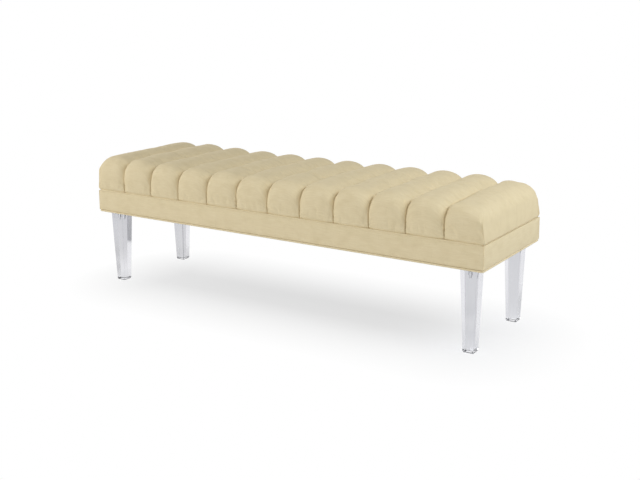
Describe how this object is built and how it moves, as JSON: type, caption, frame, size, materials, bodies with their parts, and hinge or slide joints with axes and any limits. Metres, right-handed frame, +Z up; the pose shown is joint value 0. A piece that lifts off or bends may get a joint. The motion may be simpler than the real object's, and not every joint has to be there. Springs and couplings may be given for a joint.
{
  "type": "channel-tufted bench",
  "caption": "Long upholstered bench with a channelled padded seat over a plain banded box frame, carried on clear square tapered acrylic legs.",
  "frame": {"origin": "on the floor, under the middle of the seat", "axes": "+X along the bench's length, +Y towards its back, +Z up"},
  "size_m": [1.53, 0.458, 0.475],
  "materials": {
    "seat_fabric": "slubbed silk and linen weave, satin",
    "band_fabric": "slubbed silk and linen weave, satin",
    "clear_acrylic": "clear cast acrylic, polished",
    "foot_pad": "thin grey pad",
    "frame_wood": "planed softwood",
    "plywood": "plywood",
    "foam": "open-cell foam",
    "backing": "plain cotton",
    "dust_cloth": "black non-woven cloth",
    "hardware": "zinc-plated steel"
  },
  "bodies": {
    "root": {"front_rail": "frame_wood", "rear_rail": "frame_wood", "left_rail": "frame_wood", "right_rail": "frame_wood", "left_cross_rail": "frame_wood", "middle_cross_rail": "frame_wood", "right_cross_rail": "frame_wood", "front_left_block": "frame_wood", "front_right_block": "frame_wood", "rear_left_block": "frame_wood", "rear_right_block": "frame_wood", "seat_deck": "plywood", "foam_core": "foam", "backing_cloth": "backing", "channel_01": "seat_fabric", "channel_02": "seat_fabric", "channel_03": "seat_fabric", "channel_04": "seat_fabric", "channel_05": "seat_fabric", "channel_06": "seat_fabric", "channel_07": "seat_fabric", "channel_08": "seat_fabric", "channel_09": "seat_fabric", "channel_10": "seat_fabric", "channel_11": "seat_fabric", "channel_12": "seat_fabric", "front_band": "band_fabric", "rear_band": "band_fabric", "left_band": "band_fabric", "right_band": "band_fabric", "top_welt": "band_fabric", "bottom_welt": "band_fabric", "dust_cover": "dust_cloth", "front_left_leg": "clear_acrylic", "front_right_leg": "clear_acrylic", "rear_left_leg": "clear_acrylic", "rear_right_leg": "clear_acrylic", "foot_pads": "foot_pad", "leg_inserts": "hardware", "leg_studs": "hardware", "tee_nuts": "hardware", "rail_screws": "hardware", "cross_rail_screws": "hardware", "block_screws": "hardware", "deck_screws": "hardware", "cover_staples": "hardware"}
  },
  "joints": []
}
